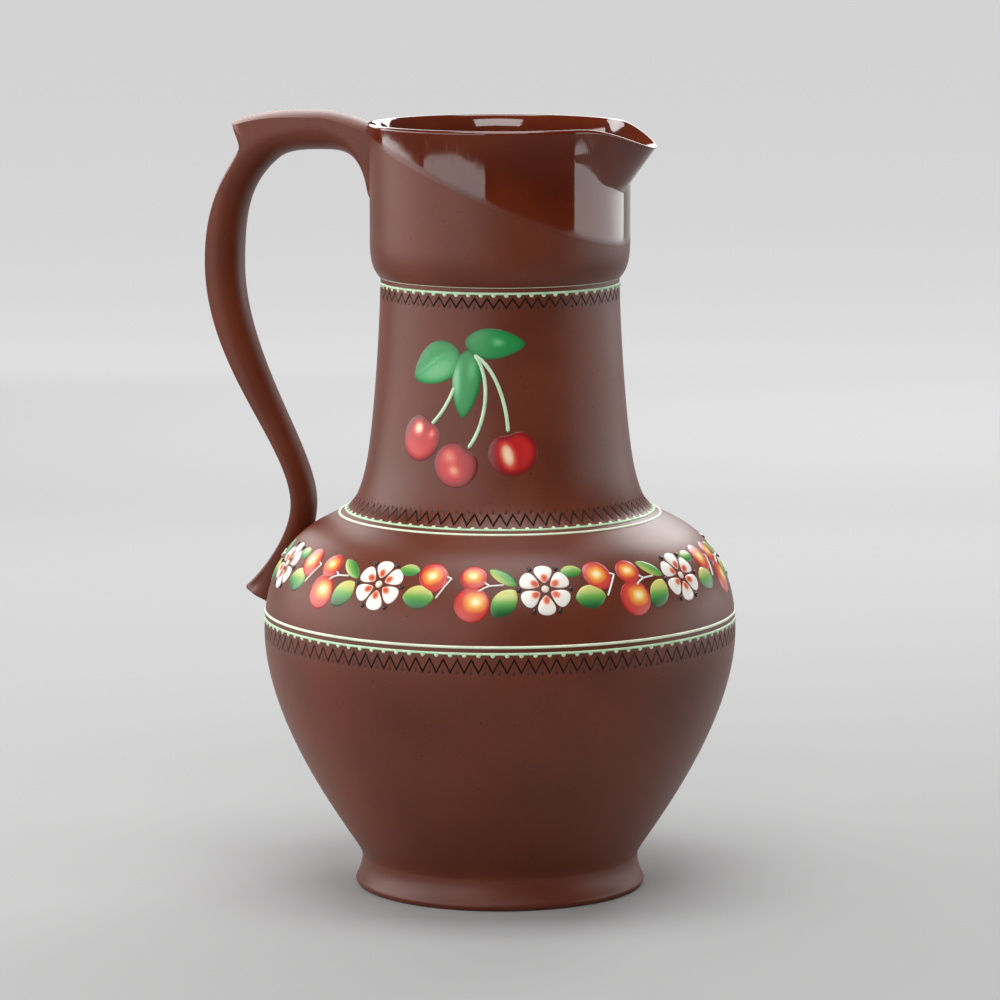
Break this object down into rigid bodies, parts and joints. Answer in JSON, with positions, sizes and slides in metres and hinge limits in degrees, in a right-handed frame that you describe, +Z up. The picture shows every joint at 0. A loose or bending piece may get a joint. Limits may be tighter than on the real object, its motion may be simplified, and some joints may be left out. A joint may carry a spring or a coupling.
{
  "type": "earthenware jug",
  "caption": "Round-bellied earthenware jug with a tall neck, pulled spout, strap handle with thumb rest, glazed lip and lining, and raised slip bands, flowers and cherries.",
  "frame": {"origin": "middle of the foot ring's flat underside, on the jug's axis", "axes": "+Z up along the jug's axis, +X towards the spout, -X towards the handle"},
  "size_m": [0.1978, 0.1734, 0.2836],
  "materials": {
    "terracotta": "satin",
    "brown_glaze": "gloss",
    "cream_slip": "satin",
    "mint_slip": "satin",
    "cherry_enamel": "satin",
    "leaf_enamel": "satin",
    "white_enamel": "satin",
    "dark_enamel": "satin",
    "berry_enamel": "satin"
  },
  "bodies": {
    "root": {"foot_ring": "terracotta", "belly": "terracotta", "shoulder": "terracotta", "neck": "terracotta", "collar": "terracotta", "handle": "terracotta", "glaze_lining": "brown_glaze", "glaze_dip": "brown_glaze", "upper_line": "cream_slip", "upper_dotted_line": "mint_slip", "middle_line": "cream_slip", "middle_dotted_line": "mint_slip", "lower_line": "cream_slip", "lower_dotted_line": "mint_slip", "cherry_fruits": "cherry_enamel", "cherry_leaves": "leaf_enamel", "cherry_stems": "mint_slip", "flower_petals": "white_enamel", "flower_centres": "cream_slip", "flower_beads": "dark_enamel", "frieze_berries": "berry_enamel", "frieze_leaves": "leaf_enamel", "frieze_twigs": "white_enamel"}
  },
  "joints": []
}
